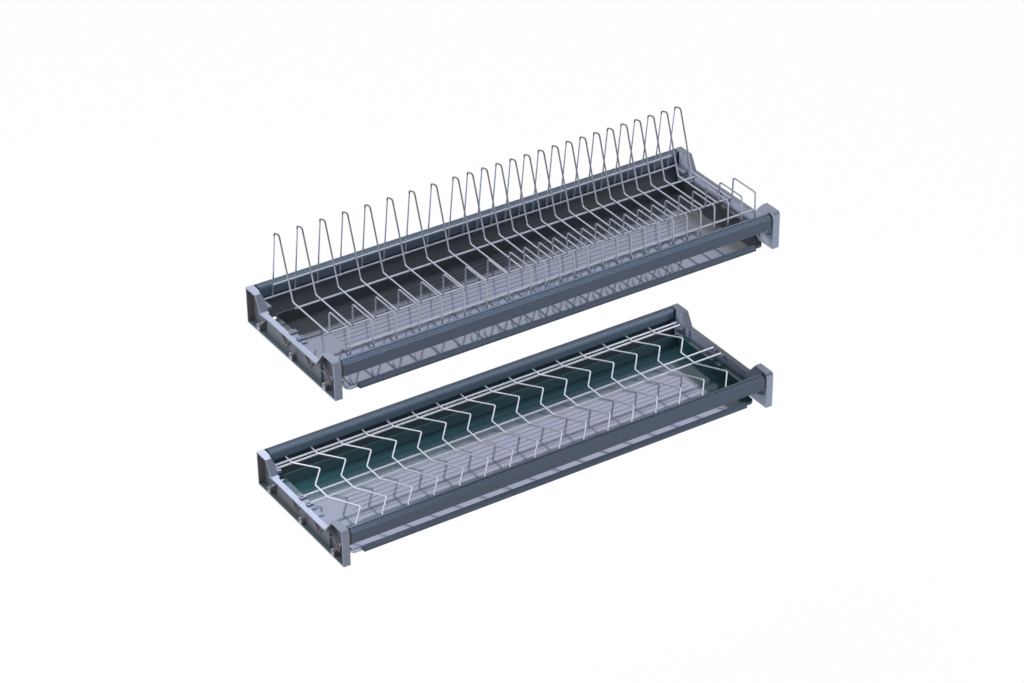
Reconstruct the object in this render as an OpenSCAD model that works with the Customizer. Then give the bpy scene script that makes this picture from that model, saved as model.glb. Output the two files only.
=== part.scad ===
// Two-tier dish rack that hangs between the side walls of a kitchen wall cabinet.
// Each tier has moulded end caps, a front and a rear aluminium rail and a drip tray.
// The upper tier carries a plate insert of bent wire, the lower tier a flat insert for cups.
// Millimetres, +Z up, front towards -Y. The origin is below the middle of the lower tier.

/* [Rack] */
// Width between the cabinet's side walls
rack_w = 864; // [664:4:1164]
// Depth of the end caps from front to back
rack_d = 286; // [276:1:320]
// Height step from the lower tier to the upper tier, ten holes of a 32 mm row
tier_pitch = 320; // [224:32:416]

/* [End caps] */
// Height of the front post
front_post_h = 69; // [67:0.5:76]
// Height of the rear post
rear_post_h = 66; // [60:0.5:72]
// Height of the low flange between the posts
low_flange_h = 40; // [37:0.5:42]
// Depth of the front post at its top
front_post_top = 36; // [30:1:38]
// Depth of the slope behind the front post
front_slope_run = 22.5; // [14:0.5:28]
// Depth of the rear post at its top
rear_post_top = 32; // [24:1:34]
// Depth of the slope in front of the rear post
rear_slope_run = 15; // [8:0.5:20]
// Rounding of the front post's top edge
front_round_r = 6; // [3:0.5:8]
// How far the posts reach in from the cabinet wall
post_reach = 13.5; // [12.5:0.1:14]
// How far the low flange reaches in from the cabinet wall
flange_reach = 10; // [8:0.5:11]
// Wall of the cap's rim
cap_wall = 2.2; // [1.6:0.1:2.8]
// Thickness of the cap's web
cap_web = 2; // [1.6:0.1:2.6]
// Thickness of the stiffening ribs
rib_t = 1.2; // [0.8:0.1:1.6]
// Outer diameter of the screw bosses
boss_d = 9; // [8:0.5:11]
// Bore of the screw bosses
boss_bore = 4.5; // [3.5:0.1:5]
// Distance of the outer screw holes from the front and the back
hole_inset = 36; // [32:1:40]
// Height of the screw holes
hole_h = 10.5; // [9:0.5:13]
// Height of the insert brackets above the low flange
bracket_rise = 3.2; // [2.8:0.1:4]
// Thickness of the insert brackets
bracket_t = 5; // [3:0.5:6]
// Top of the tray runners
runner_h = 26; // [24:0.5:27]
// Thickness of the tray runners
runner_t = 2; // [1.6:0.1:2.6]

/* [Rails] */
// Depth of the front rail
front_rail_w = 11.5; // [11:0.5:12.5]
// Height of the front rail
front_rail_h = 27; // [25:0.5:28]
// Depth of the rear rail
rear_rail_w = 12; // [11.5:0.1:12.6]
// Wall of both rails
rail_wall = 1.3; // [1:0.1:1.5]
// Open joint between a rail's end and its cap
rail_joint = 0.8; // [0.4:0.1:1.2]
// Depth of the ledge behind the front rail
ledge_w = 7.5; // [6:0.5:9]
// Length of the plugs that hold the rails
plug_l = 18; // [12:1:26]

/* [Drip tray] */
// Height of the tray
tray_h = 22.3; // [20:0.1:23]
// Height of the tray's low front lip
front_lip_h = 5.5; // [4.5:0.5:8]
// Wall of the tray
tray_wall = 2; // [1.6:0.1:2.6]
// Distance of the tray's front lip from the front of the rack
tray_front = 8; // [7:0.5:10]
// Distance of the tray's rear wall from the back of the rack
tray_back = 45; // [38:1:56]
// Radius of the tray's corners
tray_corner_r = 8; // [6:0.5:14]
// Gap between the tray's side walls and the runners
tray_side_gap = 6; // [4:0.5:8]
// Width of the tray's rim
tray_rim = 9; // [8.5:0.1:10]
// Pitch of the ribs on the tray's floor
floor_rib_pitch = 11.7; // [8:0.1:16]
// Height of the ribs on the tray's floor
floor_rib_h = 0.5; // [0.3:0.1:1.2]
// Depth of the tray's handle
handle_d = 6; // [4:0.5:6.5]
// Height of the tray's handle at the tray
handle_h = 9.5; // [8:0.5:12]

/* [Inserts] */
// Wire of the loops and the zigzags
thin_wire_d = 2.8; // [2.4:0.1:3.2]
// Wire of the long members
long_wire_d = 3.6; // [3:0.1:4]
// Inner bend radius of the wires at their centre line
bend_r = 5; // [4:0.5:6]

/* [Plate insert] */
// Pitch of the wide places
wide_pitch = 42; // [36:1:50]
// Number of wide places
wide_places = 8; // [4:1:10]
// Pitch of the close places
close_pitch = 28; // [24:1:34]
// Height of the rear of the loops
crown_h = 170; // [150:1:190]
// Height of the front of the loops
front_crown_h = 110; // [95:1:125]
// Height of the bed between the front and the rear of the loops
bed_h = 67; // [64:1:72]

/* [Cup insert] */
// Pitch of the zigzag wires
zig_pitch = 49.5; // [44:0.5:60]
// Sideways reach of the zigzag wires
zig_reach = 31; // [24:1:36]

/* [Hidden] */
$fn = 64;

// Shared clearances
cut = 1; // overrun of every cut
rest_gap = 0.3; // between an insert or a tray and its seat
weld_gap = 0.05; // between two wires that are spot welded
plug_gap = 0.1; // around a plug in its rail
bend_lap = 0.4; // how far a straight run of wire goes into a bend
bend_swell = 0.04; // how much a bend is thicker all round

// End cap: side outline, screw holes and ribs
cap_outline = [
    [0, 0],
    [rack_d, 0],
    [rack_d, rear_post_h],
    [rack_d - rear_post_top, rear_post_h],
    [rack_d - rear_post_top - rear_slope_run, low_flange_h],
    [front_post_top + front_slope_run, low_flange_h],
    [front_post_top, front_post_h],
    [0, front_post_h]
];
hole_y = [hole_inset, rack_d / 2, rack_d - hole_inset];
post_overlap = 7; // stretch of the low flange that is as deep as the rear post
rear_post_y = rack_d - rear_post_top - rear_slope_run - post_overlap;
front_post_y = front_post_top + front_slope_run + cap_wall;
rib_inset = 5; // how far the ribs stay back from the cap's open side
rib_foot_h = 14; // height of the foot of a pair of ribs
rib_pair_share = [0.315, 0.581]; // feet of the rib pairs along the depth
rib_reach = 22; // from the foot of a pair to where it meets the low flange
boss_rib_reach = 28; // from the rear boss to where its rib meets the low flange
front_rib_foot = [23.5, 15.5]; // foot of the rib pair in the front post
front_rib_rear = [30, 38]; // run and rise of its rear rib
front_rib_front = [-22, 47]; // run and rise of its front rib
slot_w = 8; // window in the web for the rail's catch
slot_h = 2.5;
slot_back = 28; // from the back of the cap
slot_drop = 6; // below the top of the rear post
facet_top_rear = 13; // corner facet of the rear post along its top
facet_top_front = 9;
facet_across = 4;
facet_down = 9; // corner facets down the slope
facet_reach = 44; // size of the block that cuts a facet

// Brackets and runners on the caps
bracket_reach = 23.5; // from the cabinet wall
rear_bracket_d = 27;
rear_bracket_back = 15; // from the back of the cap
bracket_top = low_flange_h + bracket_rise;
carrier_reach = 19.5; // from the cabinet wall
carrier_wall = 1.6; // beside the wire's groove
carrier_drop = 5; // from the top of the brackets down to the carrier's round foot
runner_reach = 20; // from the cabinet wall
runner_front = 4;
runner_back = 24;

// Heights of the inserts, upwards from the brackets
thin_r = thin_wire_d / 2;
long_r = long_wire_d / 2;
seat_z = bracket_top + rest_gap + long_r;
zig_z = seat_z + long_r + weld_gap + thin_r;
ledge_z = zig_z - thin_r - rest_gap;

// Front rail
front_rail_y = 1;
ledge_rise = 8.35; // from the rail's underside to the top of its ledge
ledge_t = 2;
front_rail_z = ledge_z - ledge_rise;
step_n = 3; // steps of the rounded front edge
step_w = 1.6;
step_h = 2.1;
step_slope = 1.2; // height of the sloping part of a step
groove_w = 1.6;
groove_d = 3;
groove_y = 5.2; // from the front of the rail
rail_half = rack_w / 2 - post_reach - rail_joint;

// Rear rail
rear_rail_back = 1;
rear_rail_z = 0.5;
rear_rail_y = rack_d - rear_rail_back - rear_rail_w;
rear_rail_h = rear_post_h - rear_rail_z;
band_h = 22; // upper band of its inner face
band_t = 2; // how far the band stands out
top_groove_w = 1.6;
top_groove_d = 1.2;
top_groove_n = 2;

// Drip tray
tray_half = rack_w / 2 - runner_reach - tray_side_gap;
tray_rear = rack_d - tray_back;
tray_top = runner_h + rest_gap + tray_wall;
tray_z = tray_top - tray_h;
floor_z = tray_z + tray_wall;
lip_top = tray_z + front_lip_h;
lip_run = 14; // level stretch of the lip along the sides
wall_run = 20; // over which the side walls rise from the lip to the rim
rim_front = tray_front + lip_run + wall_run;
rim_back = 14; // from the tray's rear wall
rim_half = tray_half + tray_rim;
rim_round_r = 3;
lower_tray_in = 9; // how far the lower tray is pushed in at rest
lip_foot = 8.9; // from the tray's front to where the lip's inner slope meets the floor
floor_rib_w = 1.2;
floor_rib_side = 63; // from the edges of the tray to the field of ribs
floor_rib_front = 37;
floor_rib_back = 16;
handle_end = 20; // from the side of the tray to the end of its handle
handle_face_h = 4.5; // upright face of the handle
stripe_n = 3;
stripe_w = 0.6;
stripe_d = 0.5;

// Plate insert: side outline of one loop, from its rear foot to its front foot
loop_margin = 40; // from the cabinet wall to the first loop
leg_foot_back = 15.7; // from the back of the rack
leg_foot_h = 40.5;
crown_back = 35; // from the back of the rack
crown_len = 16;
crown_rise = 4.5;
knee_back = 86.4; // from the back of the rack
valley_front = 81.6;
peak_lean = 2.2;
shoulder_front = 17.8;
loop_foot_front = 17;
loop_foot_z = ledge_z + rest_gap;
loop_path = [
    [rack_d - leg_foot_back, leg_foot_h],
    [rack_d - crown_back, crown_h],
    [rack_d - crown_back - crown_len, crown_h + crown_rise],
    [rack_d - knee_back, bed_h],
    [valley_front, bed_h],
    [valley_front - peak_lean, front_crown_h],
    [shoulder_front, front_crown_h],
    [loop_foot_front, loop_foot_z]
];
loop_field = rack_w - 2 * loop_margin;
rounding_share = 0.001;
close_places = floor((loop_field - wide_places * wide_pitch) / close_pitch + rounding_share);
loops_w = wide_places * wide_pitch + close_places * close_pitch;
first_close_x = wide_places * wide_pitch - loops_w / 2;

// Long wires of the plate insert: end distance from the cabinet wall, and place
seat_wire_inset = 22;
back_wire_inset = 38;
back_wire_z = 69;
knee_wire_inset = 36;
knee_wire_back = 100; // from the back of the rack
valley_wire_inset = 34;
valley_wire_y = 91;
front_wire_inset = 37;
front_wire_z = 75;
wire_step = thin_r + long_r + weld_gap;
bed_wire_z = bed_h - wire_step;

// Cup insert: plan of one zigzag wire, from its rear end to its front end
zig_margin = 45; // from the cabinet wall
zig_end_back = 18; // from the back of the rack
zig_tail = 21;
zig_rear_out = 41;
zig_rear_in = 38;
zig_middle = 43;
zig_front_out = 52;
zig_front_in = 38;
zig_front_end = 14.5;
zig_y1 = rack_d - zig_end_back - zig_tail;
zig_y2 = zig_y1 - zig_rear_out;
zig_y3 = zig_y2 - zig_rear_in;
zig_y4 = zig_y3 - zig_middle;
zig_y5 = zig_y4 - zig_front_out;
zig_y6 = zig_y5 - zig_front_in;
zig_path = [
    [0, rack_d - zig_end_back],
    [0, zig_y1],
    [zig_reach, zig_y2],
    [0, zig_y3],
    [0, zig_y4],
    [zig_reach, zig_y5],
    [0, zig_y6],
    [0, zig_front_end]
];
zig_gaps = floor((rack_w - 2 * zig_margin - zig_reach) / zig_pitch + rounding_share);
zig_field = zig_gaps * zig_pitch + zig_reach;

// Long wires of the cup insert
cup_rear_inset = 20;
cup_rear_backs = [26, 36]; // from the back of the rack
cup_middle_inset = 16;
cup_middle_pitch = 23.3;

function unit(v) = v / norm(v);
function last(list) = len(list) - 1;

// An outline moved inwards by d, for an outline that runs anticlockwise
function inset(points, d) = [
    for (i = [0 : last(points)])
        let (
            n = len(points),
            u = unit(points[i] - points[(i + n - 1) % n]),
            v = unit(points[(i + 1) % n] - points[i]),
            nu = [-u[1], u[0]],
            nv = [-v[1], v[0]]
        )
        points[i] + d * (nu + nv) / (1 + nu * nv)
];

// Y of a sloping wire at a height, on the line from a to b
function y_at(a, b, z) = a[0] + (b[0] - a[0]) * (z - a[1]) / (b[1] - a[1]);
// Level distance between a sloping wire and a level wire that touch at a weld
function level_step(a, b) = wire_step * norm(b - a) / abs(b[1] - a[1]);

// A tier's own frame: Y from the front of the rack, Z from the underside of its caps
module at_tier(level) {
    translate([0, -rack_d / 2, level * tier_pitch])
        children();
}

// A side outline (Y, Z) drawn out along +X
module side_plate(depth) {
    rotate([90, 0, 90])
        linear_extrude(depth)
            children();
}

// A rail's outline (Y, Z) drawn out to both sides of the middle
module rail_bar(half) {
    translate([-half, 0, 0])
        side_plate(2 * half)
            children();
}

// A level plate outline with four round corners
module round_corners(half, y0, y1, r) {
    translate([r - half, y0])
        square([2 * (half - r), y1 - y0]);
    translate([-half, y0 + r])
        square([2 * half, y1 - y0 - 2 * r]);
    for (x = [r - half, half - r], y = [y0 + r, y1 - r])
        translate([x, y])
            circle(r);
}

// A block that cuts off what lies beyond a plane through three points, moved back by d
module beyond(a, b, c, d) {
    n = cross(b - a, c - a);
    translate((a + b + c) / 3)
        rotate([0, acos(n[2] / norm(n)), atan2(n[1], n[0])])
            translate([-facet_reach / 2, -facet_reach / 2, -d])
                cube(facet_reach);
}

// Side outline of a cap, moved inwards by d, with its rounded front edge
module cap_shape(d) {
    r = front_round_r - d;
    difference() {
        polygon(inset(cap_outline, d));
        translate([d, front_post_h - d - r])
            difference() {
                translate([-cut, 0])
                    square([r + cut, r + cut]);
                translate([r, 0])
                    circle(r);
            }
    }
}

// The deeper posts, moved inwards by d
module post_zone(d) {
    translate([-cut, -cut, -cut])
        cube([post_reach + 2 * cut, front_post_y - d + cut, front_post_h + 2 * cut]);
    translate([-cut, rear_post_y + d, -cut])
        cube([post_reach + 2 * cut, rack_d - rear_post_y + cut, rear_post_h + 2 * cut]);
}

// Corner facets of both posts, moved back by d
module corner_facets(d) {
    rear = [post_reach, rack_d - rear_post_top, rear_post_h];
    rear_slope = unit([0, -rear_slope_run, low_flange_h - rear_post_h]);
    beyond(
        rear + [0, facet_top_rear, 0],
        rear - [facet_across, 0, 0],
        rear + facet_down * rear_slope,
        d
    );
    front = [post_reach, front_post_top, front_post_h];
    front_slope = unit([0, front_slope_run, low_flange_h - front_post_h]);
    beyond(
        front - [facet_across, 0, 0],
        front - [0, facet_top_front, 0],
        front + facet_down * front_slope,
        d
    );
}

module cap_solid() {
    difference() {
        union() {
            side_plate(flange_reach)
                cap_shape(0);
            intersection() {
                side_plate(post_reach)
                    cap_shape(0);
                post_zone(0);
            }
        }
        corner_facets(0);
    }
}

module cap_cavity() {
    difference() {
        union() {
            translate([-cut, 0, 0])
                side_plate(flange_reach - cap_web + cut)
                    cap_shape(cap_wall);
            intersection() {
                side_plate(post_reach - cap_web)
                    cap_shape(cap_wall);
                post_zone(cap_wall);
            }
        }
        corner_facets(cap_web);
    }
}

// A thin rib in the cavity, from a to b in the side view
module cap_rib(a, b) {
    run = b - a;
    translate([rib_inset, a[0], a[1]])
        rotate([atan2(run[1], run[0]), 0, 0])
            translate([0, 0, -rib_t / 2])
                cube([post_reach - rib_inset - cap_web / 2, norm(run), rib_t]);
}

module cap_ribs() {
    for (share = rib_pair_share, side = [-1, 1]) {
        foot = [share * rack_d, rib_foot_h];
        cap_rib(foot, [foot[0] + side * rib_reach, low_flange_h]);
    }
    cap_rib(front_rib_foot, front_rib_foot + front_rib_rear);
    cap_rib(front_rib_foot, front_rib_foot + front_rib_front);
    boss = [rack_d - hole_inset, hole_h];
    cap_rib(boss, [boss[0] - boss_rib_reach, low_flange_h]);
}

// Screw bosses, each on a seat that stands on the cap's floor
module cap_bosses() {
    for (y = hole_y) {
        translate([0, y, hole_h])
            rotate([0, 90, 0])
                cylinder(d = boss_d, h = post_reach);
        translate([0, y - boss_d / 2, cap_wall / 2])
            cube([post_reach, boss_d, hole_h - cap_wall / 2]);
    }
}

// Side view of a small carrier with a round foot and a groove for one wire
module carrier_shape() {
    groove_r = long_r + rest_gap;
    r = groove_r + carrier_wall;
    foot = bracket_top - carrier_drop - seat_z + r;
    difference() {
        union() {
            translate([0, foot])
                circle(r);
            translate([-r, foot])
                square([2 * r, -foot]);
        }
        circle(groove_r);
    }
}

// Brackets and carriers for the inserts, and the runner that carries the tray
module cap_brackets() {
    root = post_reach - cap_web;
    translate([root, rack_d - rear_bracket_back - rear_bracket_d, bracket_top - bracket_t])
        cube([bracket_reach - root, rear_bracket_d, bracket_t]);
    flange_root = flange_reach - cap_web;
    for (side = [-1, 1])
        translate([flange_root, (rack_d + side * cup_middle_pitch) / 2, seat_z])
            side_plate(carrier_reach - flange_root)
                carrier_shape();
    translate([flange_root, runner_front, runner_h - runner_t])
        cube([runner_reach - flange_root, rack_d - runner_front - runner_back, runner_t]);
}

// Plugs that fill the ends of the hollow rails
module cap_plugs() {
    root = post_reach - cap_web;
    translate([root, 0, 0])
        side_plate(plug_l + cap_web) {
            front_rail_hollow(plug_gap);
            rear_rail_hollow(plug_gap);
        }
}

module end_cap() {
    color([0.62, 0.65, 0.76])
        difference() {
            union() {
                difference() {
                    cap_solid();
                    cap_cavity();
                }
                intersection() {
                    union() {
                        cap_ribs();
                        cap_bosses();
                    }
                    cap_solid();
                }
                cap_brackets();
                cap_plugs();
            }
            for (y = hole_y)
                translate([-cut, y, hole_h])
                    rotate([0, 90, 0])
                        cylinder(d = boss_bore, h = post_reach + 2 * cut);
            translate([
                post_reach - cap_web - cut,
                rack_d - slot_back - slot_w / 2,
                rear_post_h - slot_drop - slot_h / 2
            ])
                cube([cap_web + 2 * cut, slot_w, slot_h]);
        }
}

module left_cap(level) {
    at_tier(level)
        translate([-rack_w / 2, 0, 0])
            end_cap();
}

module right_cap(level) {
    at_tier(level)
        translate([rack_w / 2, 0, 0])
            mirror([1, 0, 0])
                end_cap();
}

// Hollow of the front rail in the side view, made smaller all round by gap
module front_rail_hollow(gap) {
    w = front_rail_w - 2 * rail_wall;
    h = front_rail_h - step_n * step_h - 2 * rail_wall;
    translate([front_rail_y + rail_wall + gap, front_rail_z + rail_wall + gap])
        square([w - 2 * gap, h - 2 * gap]);
}

module front_rail(level) {
    face_h = front_rail_h - step_n * step_h;
    edge = [
        for (i = [0 : step_n - 1], top = [0, 1])
            [(i + top) * step_w, face_h + i * step_h + top * step_slope]
    ];
    outline = concat(
        [[0, 0]],
        edge,
        [
            [step_n * step_w, front_rail_h],
            [front_rail_w, front_rail_h],
            [front_rail_w, ledge_rise],
            [front_rail_w + ledge_w, ledge_rise],
            [front_rail_w + ledge_w, ledge_rise - ledge_t],
            [front_rail_w, ledge_rise - ledge_t],
            [front_rail_w, 0]
        ]
    );
    color([0.27, 0.31, 0.37])
        at_tier(level)
            rail_bar(rail_half)
                difference() {
                    translate([front_rail_y, front_rail_z])
                        polygon(outline);
                    front_rail_hollow(0);
                    translate([front_rail_y + groove_y, front_rail_z + front_rail_h - groove_d])
                        square([groove_w, groove_d + cut]);
                }
}

// Hollow of the rear rail in the side view, made smaller all round by gap
module rear_rail_hollow(gap) {
    w = rear_rail_w - band_t - 2 * rail_wall;
    h = rear_rail_h - top_groove_d - 2 * rail_wall;
    translate([rear_rail_y + band_t + rail_wall + gap, rear_rail_z + rail_wall + gap])
        square([w - 2 * gap, h - 2 * gap]);
}

module rear_rail(level) {
    color([0.32, 0.36, 0.43])
        at_tier(level)
            rail_bar(rail_half)
                difference() {
                    translate([rear_rail_y, rear_rail_z]) {
                        translate([band_t, 0])
                            square([rear_rail_w - band_t, rear_rail_h]);
                        translate([0, rear_rail_h - band_h])
                            square([rear_rail_w, band_h]);
                    }
                    rear_rail_hollow(0);
                    for (i = [1 : top_groove_n])
                        translate([
                            rear_rail_y + (i * rear_rail_w) / (top_groove_n + 1) - top_groove_w / 2,
                            rear_rail_z + rear_rail_h - top_groove_d
                        ])
                            square([top_groove_w, top_groove_d + cut]);
                }
}

// A tray's place in its tier
module at_tray(level) {
    at_tier(level)
        translate([0, level == 0 ? lower_tray_in : 0, 0])
            children();
}

// What is taken off the tray's front to leave a low lip and rising side walls
module above_lip() {
    rail_bar(rim_half)
        polygon([
            [tray_front - cut, lip_top],
            [tray_front + lip_run, lip_top],
            [rim_front, tray_top],
            [rim_front, tray_top + cut],
            [tray_front - cut, tray_top + cut]
        ]);
}

// The tray's inside, with a slope behind the front lip
module tray_pocket() {
    slope = (lip_foot - tray_wall) / (lip_top - floor_z);
    difference() {
        translate([0, 0, floor_z])
            linear_extrude(tray_h)
                round_corners(
                    tray_half - tray_wall,
                    tray_front + tray_wall,
                    tray_rear - tray_wall,
                    tray_corner_r - tray_wall
                );
        rail_bar(rim_half)
            polygon([
                [tray_front - cut, tray_z],
                [tray_front + lip_foot + slope * tray_wall, tray_z],
                [tray_front + tray_wall, lip_top],
                [tray_front - cut, lip_top]
            ]);
    }
}

// Tray with a low front lip, a rim on both sides and low ribs on its floor
module drip_tray(level) {
    rib_half = tray_half - floor_rib_side;
    first_rib = tray_front + floor_rib_front;
    last_rib = tray_rear - floor_rib_back;
    rib_gaps = floor((last_rib - first_rib) / floor_rib_pitch + rounding_share);
    color([0.6, 0.62, 0.72])
        at_tray(level) {
            difference() {
                union() {
                    difference() {
                        translate([0, 0, tray_z])
                            linear_extrude(tray_h)
                                round_corners(tray_half, tray_front, tray_rear, tray_corner_r);
                        above_lip();
                    }
                    translate([0, 0, tray_top - tray_wall])
                        linear_extrude(tray_wall)
                            round_corners(rim_half, rim_front, tray_rear - rim_back, rim_round_r);
                }
                tray_pocket();
            }
            translate([0, 0, tray_z + tray_wall / 2])
                linear_extrude(tray_wall / 2 + floor_rib_h)
                    for (i = [0 : rib_gaps])
                        translate([-rib_half, first_rib + i * floor_rib_pitch - floor_rib_w / 2])
                            square([2 * rib_half, floor_rib_w]);
        }
}

// Handle strip along the tray's front lip, with fine grooves
module tray_handle(level) {
    color([0.3, 0.34, 0.42])
        at_tray(level)
            rail_bar(tray_half - handle_end)
                translate([tray_front - handle_d, tray_z])
                    difference() {
                        polygon([
                            [0, 0],
                            [handle_d, 0],
                            [handle_d, handle_h],
                            [0, handle_face_h]
                        ]);
                        for (i = [1 : stripe_n])
                            translate([-cut, (i * handle_face_h) / (stripe_n + 1) - stripe_w / 2])
                                square([stripe_d + cut, stripe_w]);
                    }
}

// A wire along the points of a plane path, with every corner bent to one radius.
// A bend is a hair thicker than the straight runs, which end a little way inside it.
module flat_wire(path, d, r) {
    end = last(path);
    turn = [
        for (i = [0 : end])
            i == 0 || i == end
                ? 0
                : let (u = path[i] - path[i - 1], v = path[i + 1] - path[i])
                    atan2(u[0] * v[1] - u[1] * v[0], u * v)
    ];
    trim = [for (t = turn) t == 0 ? 0 : r * tan(abs(t) / 2) - bend_lap];
    for (i = [0 : end - 1]) {
        run = path[i + 1] - path[i];
        translate(path[i] + trim[i] * unit(run))
            rotate([0, 90, atan2(run[1], run[0])])
                cylinder(d = d, h = norm(run) - trim[i] - trim[i + 1]);
    }
    for (i = [1 : end - 1]) {
        u = unit(path[i] - path[i - 1]);
        side = sign(turn[i]);
        centre = path[i] - (trim[i] + bend_lap) * u + side * r * [-u[1], u[0]];
        start = atan2(u[1], u[0]) - side * 90 + min(turn[i], 0);
        translate(centre)
            rotate(start)
                rotate_extrude(angle = abs(turn[i]))
                    translate([r, 0])
                        circle(d = d + 2 * bend_swell);
    }
}

// A straight wire across the rack
module long_wire(inset_x, y, z) {
    half = rack_w / 2 - inset_x;
    color([0.85, 0.86, 0.87])
        translate([-half, y, z])
            rotate([0, 90, 0])
                cylinder(d = long_wire_d, h = 2 * half);
}

module plate_loops(xs) {
    color([0.85, 0.86, 0.87])
        at_tier(1)
            for (x = xs)
                translate([x, 0, 0])
                    rotate([90, 0, 90])
                        flat_wire(loop_path, thin_wire_d, bend_r);
}

module plate_loops_wide() {
    plate_loops([for (i = [0 : wide_places]) i * wide_pitch - loops_w / 2]);
}

module plate_loops_close() {
    plate_loops([for (i = [1 : close_places]) first_close_x + i * close_pitch]);
}

// In front of the rear legs, resting on the caps' rear brackets
module plate_seat_wire() {
    a = loop_path[0];
    b = loop_path[1];
    at_tier(1)
        long_wire(seat_wire_inset, y_at(a, b, seat_z) - level_step(a, b), seat_z);
}

module plate_back_wire() {
    a = loop_path[0];
    b = loop_path[1];
    at_tier(1)
        long_wire(back_wire_inset, y_at(a, b, back_wire_z) - level_step(a, b), back_wire_z);
}

module plate_knee_wire() {
    at_tier(1)
        long_wire(knee_wire_inset, rack_d - knee_wire_back, bed_wire_z);
}

module plate_valley_wire() {
    at_tier(1)
        long_wire(valley_wire_inset, valley_wire_y, bed_wire_z);
}

// Behind the front legs
module plate_front_wire() {
    a = loop_path[last(loop_path)];
    b = loop_path[last(loop_path) - 1];
    at_tier(1)
        long_wire(front_wire_inset, y_at(a, b, front_wire_z) + level_step(a, b), front_wire_z);
}

module cup_zigzag_wires() {
    color([0.85, 0.86, 0.87])
        at_tier(0)
            for (i = [0 : zig_gaps])
                translate([i * zig_pitch - zig_field / 2, 0, zig_z])
                    flat_wire(zig_path, thin_wire_d, bend_r);
}

module cup_rear_wires() {
    at_tier(0)
        for (back = cup_rear_backs)
            long_wire(cup_rear_inset, rack_d - back, seat_z);
}

module cup_middle_wires() {
    at_tier(0)
        for (side = [-1, 1])
            long_wire(cup_middle_inset, (rack_d + side * cup_middle_pitch) / 2, seat_z);
}

left_cap(1);  // upper_left_cap
right_cap(1);  // upper_right_cap
front_rail(1);  // upper_front_rail
rear_rail(1);  // upper_rear_rail
drip_tray(1);  // upper_drip_tray
tray_handle(1);  // upper_tray_handle
left_cap(0);  // lower_left_cap
right_cap(0);  // lower_right_cap
front_rail(0);  // lower_front_rail
rear_rail(0);  // lower_rear_rail
drip_tray(0);  // lower_drip_tray
tray_handle(0);  // lower_tray_handle
plate_loops_wide();
plate_loops_close();
plate_seat_wire();
plate_back_wire();
plate_knee_wire();
plate_valley_wire();
plate_front_wire();
cup_zigzag_wires();
cup_rear_wires();
cup_middle_wires();
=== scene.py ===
"""Cabinet dish rack: materials, light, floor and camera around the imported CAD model."""
import math

import bpy
from mathutils import Matrix, Vector


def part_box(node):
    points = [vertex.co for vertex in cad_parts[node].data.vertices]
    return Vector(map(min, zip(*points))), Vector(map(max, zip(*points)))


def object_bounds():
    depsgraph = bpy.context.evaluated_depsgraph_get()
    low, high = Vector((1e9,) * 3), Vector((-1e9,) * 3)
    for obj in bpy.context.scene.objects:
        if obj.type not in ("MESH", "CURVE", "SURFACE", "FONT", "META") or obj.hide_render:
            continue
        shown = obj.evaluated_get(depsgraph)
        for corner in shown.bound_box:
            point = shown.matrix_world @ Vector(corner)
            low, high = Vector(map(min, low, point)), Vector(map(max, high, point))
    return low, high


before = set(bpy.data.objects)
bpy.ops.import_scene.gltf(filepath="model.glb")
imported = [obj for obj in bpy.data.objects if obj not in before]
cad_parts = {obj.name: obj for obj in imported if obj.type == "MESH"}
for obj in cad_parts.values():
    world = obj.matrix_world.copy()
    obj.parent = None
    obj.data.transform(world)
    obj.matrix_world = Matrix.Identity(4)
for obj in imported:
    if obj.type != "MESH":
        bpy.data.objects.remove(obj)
cad_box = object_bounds()

TIERS = ("lower", "upper")
TIER_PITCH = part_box("upper_left_cap")[0][2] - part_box("lower_left_cap")[0][2]
MM = 0.001

# Camera, between the two that the photograph's tiers were taken with; lengths in metres
FOCAL_PX = 3000.0
PHOTO_WIDTH_PX = 1024.0
SENSOR_MM = 36.0
AZIMUTH = math.radians(-32.40)
ELEVATION = math.radians(31.81)
ROLL = math.radians(-0.72)
CAMERA_DISTANCE = 5.148
CAMERA_OFFSET = (0.0137, -0.1761)
CAMERA_REACH = 50.0

# Light and floor
AMBIENT_COLOUR = (0.9, 0.96, 1.0)
AMBIENT_LEVELS = (0.12, 0.55)
AMBIENT_HEIGHTS = (-0.3, 0.9)
KEY_COLOUR = (1.0, 0.98, 0.95)
WHITE = (1.0, 1.0, 1.0)
FLOOR_COLOUR = (0.75, 0.75, 0.75)
FLOOR_ROUGHNESS = 0.9
FLOOR_GLOW_SHARE = 0.985
FLOOR_Z = -0.6
FLOOR_HALF = 12.0

# Colours, linear, and the tones that they are multiplied by
BLACK = (0.0, 0.0, 0.0)
# Near black: painted shade in the seams at the rails' ends, and the handles' black ends
DARK_END_COLOUR = (0.006, 0.007, 0.008)
CAP_COLOUR = (0.235, 0.265, 0.36)
CAP_DARK = (0.205, 0.232, 0.32)
# Painted shade inside the end caps' open shells: on the web, then on the ribs, rear walls and
# ceilings in a warm brown, then on the floors
CAP_WEB_SHADE_COLOUR = (0.088, 0.099, 0.128)
CAP_SHELL_SHADE_COLOUR = (0.140, 0.130, 0.120)
CAP_SHELL_FLOOR_SHADE_COLOUR = (0.036, 0.050, 0.055)
# Tones of painted light on the end caps' inward faces and painted shade on their slopes
CAP_INNER_LIGHT_TONE = 1.35
CAP_SLOPE_SHADE_TONE = 0.66
FRONT_RAIL_COLOUR = (0.056, 0.080, 0.132)
# Painted light on the front rails' upward faces
FRONT_RAIL_TOP_LIT_COLOUR = (0.100, 0.135, 0.210)
REAR_RAIL_COLOUR = (0.058, 0.083, 0.130)
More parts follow.
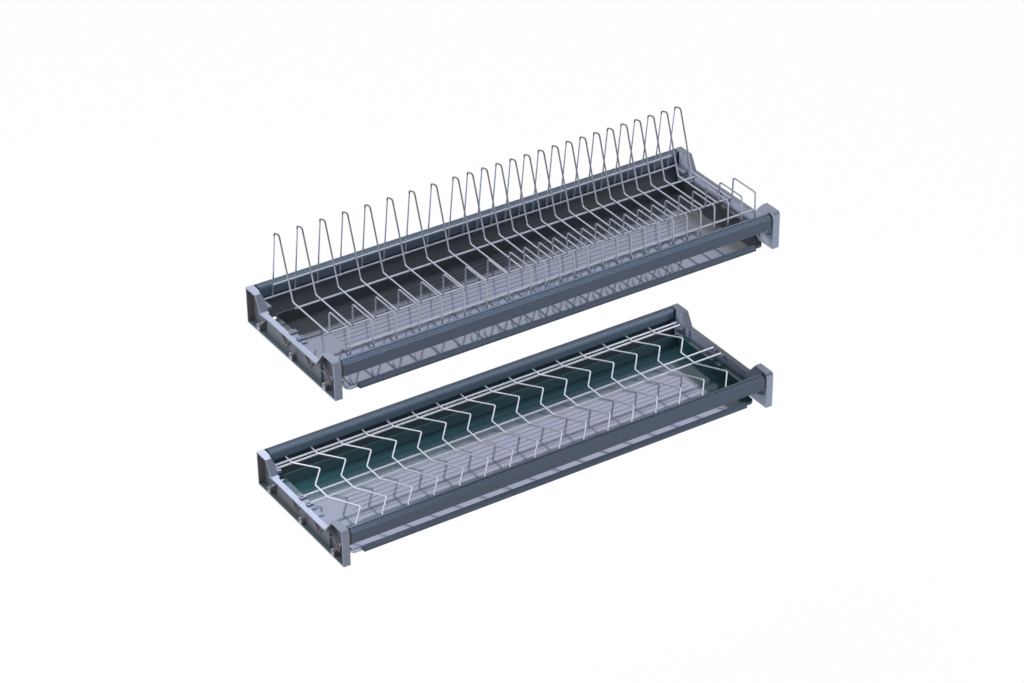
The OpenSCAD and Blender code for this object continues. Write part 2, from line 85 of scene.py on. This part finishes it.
# Rear rails' inner faces, a copy for each tier: painted highlight on the top edge, the rail's own
# colour lightened by painted light on the band, painted shade low down
REAR_RAIL_EDGE_HIGHLIGHTS = {"lower": (0.33, 0.43, 0.58), "upper": (0.22, 0.29, 0.40)}
REAR_RAIL_BAND_LIT_COLOURS = {"lower": (0.094, 0.140, 0.205), "upper": (0.098, 0.132, 0.190)}
REAR_RAIL_LOW_SHADE_COLOURS = {"lower": (0.026, 0.048, 0.064), "upper": (0.028, 0.045, 0.065)}
RAIL_STREAK_SHARE = 0.15
TRAY_GLOSS_TINTS = {"lower": (0.75, 0.76, 1.0), "upper": (0.71, 0.77, 1.0)}
TRAY_BODY_COLOURS = {"lower": (0.020, 0.068, 0.082), "upper": (0.030, 0.034, 0.040)}
TRAY_REAR_COLOURS = {"lower": (0.060, 0.125, 0.145), "upper": (0.052, 0.058, 0.066)}
# Painted reflection on the sides of the tray's floor ribs, the lilac that the glossy floor mirrors
TRAY_RIB_REFLECTION_COLOUR = (0.30, 0.30, 0.40)
# Handle colours; the lower tier's copy is lighter, as painted light
HANDLE_TIER_LIT_COLOURS = {"lower": (0.100, 0.130, 0.195), "upper": (0.080, 0.107, 0.162)}
HANDLE_STREAK_TONE = 0.85
# One stainless wire; the cup insert's copy is brighter, as painted light
WIRE_LIT_COLOURS = {"cup": (0.86, 0.90, 1.0), "plate": (0.44, 0.47, 0.56)}
CLOUD_TONE = 0.9
# Tones of painted light on the plate loops' rear legs and painted shade on their hoops, crowns and
# front legs
REAR_LEG_LIGHT_TONE = 1.7
FRONT_LEG_SHADE_TONE = 0.42
CROWN_SHADE_TONE = 0.3
HOOP_SHADE_TONE = 0.72

# Painted light and shade on the left and the right end caps, as tones
CAP_TOP_PAINTED_LIGHT = {"lower": (1.6, 0.52), "upper": (1.0, 0.48)}
CAP_FRONT_TOP_PAINTED_LIGHT = {"lower": (0.76, 1.5), "upper": (0.67, 0.68)}
CAP_FRONT_PAINTED_LIGHT = (0.92, 1.25)

# Gloss: refractive indices, and roughness from one level to another
PLASTIC_IOR = 1.5
RAIL_IOR = 1.45
REAR_RAIL_LOW_IORS = {"lower": 1.2, "upper": 1.45}
TRAY_IORS = {"lower": 5.7, "upper": 4.3}
CAP_ROUGHNESS = (0.38, 0.5)
RAIL_ROUGHNESS = (0.42, 0.34)
TRAY_ROUGHNESS = {"lower": (0.09, 0.13), "upper": (0.05, 0.08)}
HANDLE_ROUGHNESS = (0.36, 0.48)
WIRE_ROUGHNESS = (0.18, 0.28)
WIRE_METALLIC = 0.7

# All pairs from here on are soft edges of zones: outside up to the first value, fully inside from
# the second value on. The first ones are parts of a face's normal along an axis.
FACING = (0.8, 0.9)
FACING_AGAINST = (-0.8, -0.9)
CAP_TOPS = (0.9, 0.97)
CAP_SLOPES = (0.2, 0.3)
CAP_FRONTS = (-0.9, -0.95)
CAP_CEILINGS = (-0.3, -0.4)
FRONT_RAIL_TOPS = (0.3, 0.6)
REAR_RAIL_FRONTS = (-0.5, -0.7)

# Shares of the step between the tiers
UPPER_TIER = (0.5, 0.6)

# End caps' zones of painted light and shade, in mm from the middle of the rack
RIGHT_HALF = (-1.0, 1.0)
FRONT_POSTS = (-80.0, -84.0)

# The end caps' open shells, where shade is painted, in mm from the wall side, from the rack's ends
# and from the underside
SHELL_DEEP = (-11.8, -11.6)
SHELL_MOUTH = (-0.1, -0.4)
RIBS_DEEP = (-7.8, -7.4)
RIBS_ENDS = (-0.8, -1.6)
SHELL_REAR_WALL = (-4.0, -3.0)
RIBS_LOW = (0.8, 1.6)
RIBS_HIGH = (39.6, 38.6)
SHELL_CEILING = (36.0, 37.0)
SHELL_FLOOR = (3.0, 2.6)

# Rails and handles, in mm from their ends, their tops and their backs
# Painted shade in the seam between a rail's end and the end cap
RAIL_END_SHADE = (-3.6, -3.0)
HANDLE_END = (-0.5, -0.2)
# Zones of the painted highlight at the top and the painted shade low on the rear rails' inner faces
REAR_RAIL_EDGE = (-9.0, -1.0)
REAR_RAIL_LOW = (-19.0, -21.0)
REAR_RAIL_INNER = (-4.0, -6.0)

# Trays, in mm from the rear, the right end, the underside and the front
TRAY_REAR_WALL = (-2.6, -2.3)
TRAY_DIM_ZONES = {"lower": (-80.0, -60.0), "upper": (-68.0, -54.0)}
TRAY_DIM_SHARES = {"lower": 0.85, "upper": 0.9}
TRAY_RIGHT_ENDS = {"lower": (-70.0, -56.0), "upper": (-110.0, -52.0)}
TRAY_UNDERSIDE = (0.4, 0.2)
TRAY_RIBS_LOW = (2.8, 2.6)
TRAY_RIBS_FRONT = (20.0, 22.0)
TRAY_RIBS_REAR = (-10.0, -11.0)

# Zones of painted light and shade on the plate loops, in mm from the middle of the rack to the back,
# and from their tops
REAR_LEGS_BACK = (100.0, 104.0)
REAR_LEGS_LOW = (-105.0, -85.0)
FRONT_LEGS_BACK = (102.0, 98.0)
FRONT_LEGS_FRONT = (40.0, 45.0)
FRONT_LEGS_LOW = (-90.0, -50.0)
HOOPS_BACK = (0.0, -5.0)
HOOPS_LOW = (-68.0, -66.0)
CROWNS_LOW = (-12.0, -8.0)


def place_camera():
    """Puts the camera on the photograph's side of the rack, aimed and turned like it."""
    back = Vector((
        math.sin(AZIMUTH) * math.cos(ELEVATION),
        -math.cos(AZIMUTH) * math.cos(ELEVATION),
        math.sin(ELEVATION),
    ))
    level = Vector((math.cos(AZIMUTH), math.sin(AZIMUTH), 0.0))
    upright = back.cross(level)
    right = level * math.cos(ROLL) + upright * math.sin(ROLL)
    up = upright * math.cos(ROLL) - level * math.sin(ROLL)
    where = back * CAMERA_DISTANCE - right * CAMERA_OFFSET[0] - up * CAMERA_OFFSET[1]
    data = bpy.data.cameras.new("photo_camera")
    data.sensor_width = SENSOR_MM
    data.lens = FOCAL_PX / PHOTO_WIDTH_PX * SENSOR_MM
    data.clip_end = CAMERA_REACH
    camera = bpy.data.objects.new("photo_camera", data)
    bpy.context.scene.collection.objects.link(camera)
    axes = Matrix((right, up, back)).transposed().to_4x4()
    camera.matrix_world = Matrix.Translation(where) @ axes
    bpy.context.scene.camera = camera


class Nodes:
    """A node tree, with short calls to add and join nodes."""

    def __init__(self, tree):
        self.tree = tree

    def add(self, kind, **values):
        """Adds a node, sets its properties, and its inputs by name or number."""
        node = self.tree.nodes.new(kind)
        inputs = values.pop("inputs", {})
        for key, value in values.items():
            setattr(node, key, value)
        for key, value in inputs.items():
            if isinstance(value, bpy.types.NodeSocket):
                self.tree.links.new(value, node.inputs[key])
            else:
                node.inputs[key].default_value = value
        return node

    def split(self, vector):
        """The three parts of a vector."""
        return self.add("ShaderNodeSeparateXYZ", inputs={0: vector}).outputs

    def math(self, operation, first, second=0.0):
        """One math node."""
        return self.add(
            "ShaderNodeMath", operation=operation, inputs={0: first, 1: second}
        ).outputs[0]

    def mapped(self, value, source, target):
        """A value carried over from one range to another, and held inside it."""
        return self.add(
            "ShaderNodeMapRange",
            inputs={0: value, 1: source[0], 2: source[1], 3: target[0], 4: target[1]},
        ).outputs[0]

    def all_of(self, first, *others):
        """The product of shares from 0 to 1."""
        for share in others:
            first = self.math("MULTIPLY", first, share)
        return first

    def any_of(self, first, *others):
        """The largest of shares from 0 to 1."""
        for share in others:
            first = self.math("MAXIMUM", first, share)
        return first

    def seen_directly(self):
        """1 for camera, glossy and transmission rays, else 0."""
        ray = self.add("ShaderNodeLightPath").outputs
        return self.any_of(
            ray["Is Camera Ray"], ray["Is Glossy Ray"], ray["Is Transmission Ray"]
        )


class Shader(Nodes):
    """A material's nodes around its Principled shader."""

    def __init__(self, name):
        self.material = bpy.data.materials.new(name)
        self.material.use_nodes = True
        super().__init__(self.material.node_tree)
        self.surface = self.tree.nodes["Principled BSDF"]
        self.point = self.add("ShaderNodeTexCoord").outputs["Object"]
        self.axes = self.split(self.point)
        self.facing = self.split(self.add("ShaderNodeNewGeometry").outputs["True Normal"])

    def set(self, **values):
        """Sets or links the Principled shader's sockets; _ stands for a space."""
        for key, value in values.items():
            socket = self.surface.inputs[key.replace("_", " ")]
            if isinstance(value, bpy.types.NodeSocket):
                self.tree.links.new(value, socket)
            elif isinstance(value, tuple):
                socket.default_value = (*value, 1.0)
            else:
                socket.default_value = value

    def drawn_out(self, times):
        """The object point for a noise that is drawn out along the rack."""
        return self.add(
            "ShaderNodeMapping", inputs={0: self.point, 3: (1.0 / times, 1.0, 1.0)}
        ).outputs[0]

    def noise(self, cells, detail, roughness=0.5, vector=None):
        """Noise from 0 to 1, by its cells in a metre."""
        return self.add(
            "ShaderNodeTexNoise",
            inputs={"Vector": vector or self.point, "Scale": cells, "Detail": detail,
                    "Roughness": roughness},
        ).outputs["Fac"]

    def spread(self, noise, levels):
        """A noise's middle range carried over to two levels."""
        return self.mapped(noise, (0.3, 0.7), levels)

    def uneven(self, levels, **noise):
        """A value that noise moves between two levels."""
        return self.spread(self.noise(**noise), levels)

    def rise(self, value, edge):
        """0 up to an edge's first value, 1 from its second on, whichever is the larger."""
        return self.mapped(value, edge, (0.0, 1.0))

    def zone(self, value, edge, base=0.0):
        """As rise, for an edge in mm from a base in metres."""
        return self.rise(value, [base + step * MM for step in edge])

    def between(self, share, first, second):
        """A value between two values."""
        return self.mapped(share, (0.0, 1.0), (first, second))

    def blend(self, share, first, second):
        """A colour between two colours."""
        colours = [c if isinstance(c, bpy.types.NodeSocket) else (*c, 1.0) for c in (first, second)]
        return self.add(
            "ShaderNodeMix", data_type="RGBA", inputs={0: share, 6: colours[0], 7: colours[1]}
        ).outputs[2]

    def mottled(self, dark, light, **noise):
        """A colour that noise moves between two colours."""
        return self.blend(self.uneven((0.0, 1.0), **noise), dark, light)

    def toned(self, colour, tone):
        """A colour times a value."""
        return self.add(
            "ShaderNodeVectorMath", operation="SCALE", inputs={0: colour, 3: tone}
        ).outputs[0]

    def sideways(self):
        """Distance from the middle of the rack."""
        return self.math("ABSOLUTE", self.axes[0])

    def height(self):
        """Height above the underside of the tier's end caps, which starts anew just below it."""
        margin = 2 * MM
        raised = self.math("ADD", self.axes[2], margin)
        return self.math("SUBTRACT", self.math("FLOORED_MODULO", raised, TIER_PITCH), margin)

    def outwards(self):
        """How squarely a face looks away from the middle of the rack, along its width."""
        return self.math("MULTIPLY", self.facing[0], self.math("SIGN", self.axes[0]))

    def grain(self, depth, strength, **noise):
        """A bump of noise, with its depth in metres."""
        bump = self.add(
            "ShaderNodeBump",
            inputs={"Height": self.noise(**noise), "Distance": depth, "Strength": strength},
        )
        self.set(Normal=bump.outputs[0])


def darker(colour, tone):
    """A colour times a tone."""
    return tuple(part * tone for part in colour)


def cap_painted_light(s):
    """Painted light and shade on the outside of the end caps: tops, slopes, fronts and inward faces
    differ by place.
    """
    right = s.zone(s.axes[0], RIGHT_HALF)
    upper = s.rise(s.axes[2], [share * TIER_PITCH for share in UPPER_TIER])
    posts = s.zone(s.axes[1], FRONT_POSTS)
    tops, post_tops = (
        s.between(upper, *(s.between(right, *tones[t]) for t in TIERS))
        for tones in (CAP_TOP_PAINTED_LIGHT, CAP_FRONT_TOP_PAINTED_LIGHT)
    )
    tone = s.between(s.rise(s.outwards(), FACING_AGAINST), 1.0, CAP_INNER_LIGHT_TONE)
    tone = s.between(s.rise(s.facing[1], CAP_FRONTS), tone, s.between(right, *CAP_FRONT_PAINTED_LIGHT))
    tone = s.between(s.rise(s.facing[2], CAP_SLOPES), tone, CAP_SLOPE_SHADE_TONE)
    return s.between(s.rise(s.facing[2], CAP_TOPS), tone, s.between(posts, tops, post_tops))


def moulded_plastic():
    """Satin end caps with a fine spark-eroded grain, painted shade inside the open shell and painted
    light and shade outside.
    """
    s = Shader("cap_plastic")
    wall = max(abs(v[0]) for v in cad_box)
    end = max(abs(v[1]) for v in cad_box)
    side, depth, height = s.sideways(), s.math("ABSOLUTE", s.axes[1]), s.height()
    in_shell = s.all_of(s.zone(side, SHELL_DEEP, wall), s.zone(side, SHELL_MOUTH, wall))
    ribs = s.all_of(
        s.zone(side, RIBS_DEEP, wall),
        s.zone(depth, RIBS_ENDS, end),
        s.zone(height, RIBS_LOW),
        s.zone(height, RIBS_HIGH),
    )
    rear_wall = s.all_of(
        s.rise(s.facing[1], FACING_AGAINST), s.zone(s.axes[1], SHELL_REAR_WALL, end)
    )
    ceiling = s.all_of(s.rise(s.facing[2], CAP_CEILINGS), s.zone(height, SHELL_CEILING))
    bottom = s.all_of(s.rise(s.facing[2], FACING), s.zone(height, SHELL_FLOOR))
    # Painted shade inside the open shell: on the web, the ribs, the walls, the ceiling and the floor
    web = s.all_of(in_shell, s.rise(s.outwards(), FACING))
    shell_shade = s.all_of(in_shell, s.any_of(ribs, rear_wall, ceiling, bottom))
    inner = s.blend(bottom, CAP_SHELL_SHADE_COLOUR, CAP_SHELL_FLOOR_SHADE_COLOUR)
    # The outside colour times painted light and shade
    outside = s.toned(s.mottled(CAP_DARK, CAP_COLOUR, cells=9.0, detail=4.0), cap_painted_light(s))
    s.set(
        Base_Color=s.blend(shell_shade, s.blend(web, outside, CAP_WEB_SHADE_COLOUR), inner),
        Roughness=s.uneven(CAP_ROUGHNESS, cells=60.0, detail=5.0),
        IOR=PLASTIC_IOR,
    )
    s.grain(depth=0.06 * MM, strength=0.5, cells=1800.0, detail=2.0)
    return s.material


def finish_rail(s, node, colour, ior=RAIL_IOR):
    """Fine streaks along the extrusion, and painted shade in the seams at the dark ends."""
    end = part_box(node)[1][0]
    streaks = s.noise(cells=220.0, detail=5.0, roughness=0.65, vector=s.drawn_out(100.0))
    shade = s.blend(s.spread(streaks, (0.0, RAIL_STREAK_SHARE)), colour, BLACK)
    s.set(
        # Painted shade in the seam at each end of the rail
        Base_Color=s.blend(s.zone(s.sideways(), RAIL_END_SHADE, end), shade, DARK_END_COLOUR),
        Roughness=s.spread(streaks, RAIL_ROUGHNESS),
        IOR=ior,
    )
    s.grain(depth=0.04 * MM, strength=0.4, cells=900.0, detail=3.0, vector=s.drawn_out(50.0))
    return s.material


def front_rail_finish(node):
    """Anthracite anodised aluminium, with painted light on the steps and the top."""
    s = Shader(node + "_finish")
    tops = s.rise(s.facing[2], FRONT_RAIL_TOPS)
    # Upward faces lighter: painted light
    return finish_rail(s, node, s.blend(tops, FRONT_RAIL_COLOUR, FRONT_RAIL_TOP_LIT_COLOUR))


def rear_rail_finish(node, tier):
    """Anthracite anodised aluminium; on its inner face a painted highlight at the top edge, a band
    of its own colour lightened by painted light, and painted shade on the lower face.
    """
    s = Shader(node + "_finish")
    back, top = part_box(node)[1][1:]
    inner = s.all_of(
        s.zone(s.axes[1], REAR_RAIL_INNER, back), s.rise(s.facing[1], REAR_RAIL_FRONTS)
    )
    # Painted highlight at the top edge and painted shade on the lower face
    edge, lower = (s.zone(s.axes[2], zone, top) for zone in (REAR_RAIL_EDGE, REAR_RAIL_LOW))
    face = s.blend(edge, REAR_RAIL_BAND_LIT_COLOURS[tier], REAR_RAIL_EDGE_HIGHLIGHTS[tier])
    face = s.blend(lower, face, REAR_RAIL_LOW_SHADE_COLOURS[tier])
    ior = s.between(s.all_of(inner, lower), RAIL_IOR, REAR_RAIL_LOW_IORS[tier])
    return finish_rail(s, node, s.blend(inner, REAR_RAIL_COLOUR, face), ior)


def smoky_plastic(tier):
    """Smoky tray with a strong gloss that mirrors what stands above it, weak in some zones, and a
    painted reflection on the floor ribs' sides.
    """
    s = Shader(tier + "_tray_plastic")
    body = TRAY_BODY_COLOURS[tier]
    low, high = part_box(tier + "_drip_tray")
    across, depth, height = s.axes
    rear = s.zone(depth, TRAY_REAR_WALL, high[1])
    under = s.zone(height, TRAY_UNDERSIDE, low[2])
    dim = s.all_of(s.zone(depth, TRAY_DIM_ZONES[tier], high[1]), TRAY_DIM_SHARES[tier])
    aside = s.zone(across, TRAY_RIGHT_ENDS[tier], high[0])
    rib_sides = s.all_of(
        s.rise(s.math("ABSOLUTE", s.facing[1]), FACING),
        s.zone(height, TRAY_RIBS_LOW, low[2]),
        s.zone(depth, TRAY_RIBS_FRONT, low[1]),
        s.zone(depth, TRAY_RIBS_REAR, high[1]),
    )
    weak = s.any_of(rear, under, dim, aside, rib_sides)
    clouded = s.mottled(darker(body, CLOUD_TONE), body, cells=5.0, detail=3.0)
    clouded = s.blend(rear, clouded, TRAY_REAR_COLOURS[tier])
    s.set(
        # Painted reflection on the rib sides, in place of their gloss
        Base_Color=s.blend(rib_sides, clouded, TRAY_RIB_REFLECTION_COLOUR),
        Specular_Tint=TRAY_GLOSS_TINTS[tier],
        IOR=s.between(weak, TRAY_IORS[tier], PLASTIC_IOR),
        Roughness=s.uneven(TRAY_ROUGHNESS[tier], cells=40.0, detail=4.0),
    )
    s.grain(depth=0.3 * MM, strength=0.15, cells=14.0, detail=2.0)
    return s.material


def handle_plastic(tier):
    """Dark slate handle strip with black ends, lighter on the lower tier as painted light."""
    s = Shader(tier + "_handle_plastic")
    # Lighter on the lower tier: painted light
    colour = HANDLE_TIER_LIT_COLOURS[tier]
    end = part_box(tier + "_tray_handle")[1][0]
    streaked = s.mottled(
        darker(colour, HANDLE_STREAK_TONE), colour, cells=160.0, detail=4.0, vector=s.drawn_out(50.0)
    )
    s.set(
        Base_Color=s.blend(s.zone(s.sideways(), HANDLE_END, end), streaked, DARK_END_COLOUR),
        Roughness=s.uneven(HANDLE_ROUGHNESS, cells=70.0, detail=4.0),
        IOR=PLASTIC_IOR,
    )
    s.grain(depth=0.05 * MM, strength=0.4, cells=1500.0, detail=2.0)
    return s.material


def loop_painted_light(s):
    """Painted light and shade on the plate loops: lighter rear legs, darker low hoops, crowns and
    upper front legs.
    """
    depth, height = s.axes[1:]
    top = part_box("plate_loops_wide")[1][2]
    rear_legs = s.all_of(s.zone(depth, REAR_LEGS_BACK), s.zone(height, REAR_LEGS_LOW, top))
    front_legs = s.all_of(
        s.zone(depth, FRONT_LEGS_BACK),
        s.zone(depth, FRONT_LEGS_FRONT),
        s.zone(height, FRONT_LEGS_LOW, top),
    )
    hoops = s.all_of(s.zone(depth, HOOPS_BACK), s.zone(height, HOOPS_LOW, top))
    tone = s.between(rear_legs, 1.0, REAR_LEG_LIGHT_TONE)
    tone = s.between(hoops, tone, HOOP_SHADE_TONE)
    tone = s.between(front_legs, tone, FRONT_LEG_SHADE_TONE)
    return s.between(s.zone(height, CROWNS_LOW, top), tone, CROWN_SHADE_TONE)


def stainless_wire(insert):
    """Drawn stainless wire, brighter on the cup insert as painted light."""
    s = Shader(insert + "_wire_steel")
    colour = WIRE_LIT_COLOURS[insert]
    shade = s.mottled(darker(colour, CLOUD_TONE), colour, cells=35.0, detail=3.0)
    s.set(
        # Plate loops get painted light and shade
        Base_Color=s.toned(shade, loop_painted_light(s)) if insert == "plate" else shade,
        Metallic=WIRE_METALLIC,
        Roughness=s.uneven(WIRE_ROUGHNESS, cells=90.0, detail=4.0),
    )
    s.grain(depth=0.02 * MM, strength=0.3, cells=2500.0, detail=2.0)
    return s.material


def floor_material():
    """Pale floor, near white to the camera, that keeps a faint shadow."""
    s = Shader("pale_floor")
    s.set(Base_Color=FLOOR_COLOUR, Roughness=FLOOR_ROUGHNESS)
    glow = s.add("ShaderNodeEmission", inputs={0: (*WHITE, 1.0), 1: 1.0})
    share = s.all_of(s.seen_directly(), FLOOR_GLOW_SHARE)
    mix = s.add(
        "ShaderNodeMixShader", inputs={0: share, 1: s.surface.outputs[0], 2: glow.outputs[0]}
    )
    s.tree.links.new(mix.outputs[0], s.tree.nodes["Material Output"].inputs[0])
    return s.material


def set_world():
    """White to the camera and in reflections, softer and brighter from above as light."""
    world = bpy.data.worlds.new("studio")
    bpy.context.scene.world = world
    world.use_nodes = True
    world.node_tree.nodes.clear()
    sky = Nodes(world.node_tree)
    upwards = sky.split(sky.add("ShaderNodeTexCoord").outputs["Generated"])[2]
    level = sky.mapped(upwards, AMBIENT_HEIGHTS, AMBIENT_LEVELS)
    soft = sky.add("ShaderNodeBackground", inputs={0: (*AMBIENT_COLOUR, 1.0), 1: level})
    white = sky.add("ShaderNodeBackground", inputs={0: (*WHITE, 1.0), 1: 1.0})
    mix = sky.add(
        "ShaderNodeMixShader",
        inputs={0: sky.seen_directly(), 1: soft.outputs[0], 2: white.outputs[0]},
    )
    sky.add("ShaderNodeOutputWorld", inputs={0: mix.outputs[0]})


def soft_light(name, where, target, size, watts, colour=WHITE):
    """A square soft light aimed at a point, not itself mirrored in glossy surfaces."""
    data = bpy.data.lights.new(name, "AREA")
    data.shape = "SQUARE"
    data.size = size
    data.energy = watts
    data.color = colour
    lamp = bpy.data.objects.new(name, data)
    bpy.context.scene.collection.objects.link(lamp)
    lamp.visible_glossy = False
    lamp.location = where
    lamp.rotation_euler = (Vector(target) - Vector(where)).to_track_quat("-Z", "Y").to_euler()


def make_floor():
    """A wide floor below the rack, which hangs in a cabinet in use."""
    corners = [(-1, -1), (1, -1), (1, 1), (-1, 1)]
    mesh = bpy.data.meshes.new("floor")
    mesh.from_pydata(
        [(x * FLOOR_HALF, y * FLOOR_HALF, FLOOR_Z) for x, y in corners], [], [(0, 1, 2, 3)]
    )
    floor = bpy.data.objects.new("floor", mesh)
    bpy.context.scene.collection.objects.link(floor)
    mesh.materials.append(floor_material())


def dress(names, material):
    """Gives CAD nodes a material on their slots."""
    for name in names:
        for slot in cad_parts[name].material_slots:
            slot.material = material


def dress_rack():
    """Puts a material on every CAD node."""
    dress([f"{t}_{side}_cap" for t in TIERS for side in ("left", "right")], moulded_plastic())
    for tier in TIERS:
        front, rear = tier + "_front_rail", tier + "_rear_rail"
        dress([front], front_rail_finish(front))
        dress([rear], rear_rail_finish(rear, tier))
        dress([tier + "_drip_tray"], smoky_plastic(tier))
        dress([tier + "_tray_handle"], handle_plastic(tier))
    for insert in WIRE_LIT_COLOURS:
        dress([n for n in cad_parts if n.startswith(insert + "_")], stainless_wire(insert))


place_camera()
make_floor()
set_world()
soft_light(
    "key", where=(-1.3, 0.6, 2.4), target=(0.0, 0.1, 0.2), size=2.0, watts=120.0, colour=KEY_COLOUR
)
soft_light("fill", where=(1.7, -1.6, 0.5), target=(0.43, -0.1, 0.2), size=1.0, watts=18.0)
dress_rack()

bpy.context.scene.view_settings.view_transform = "Standard"
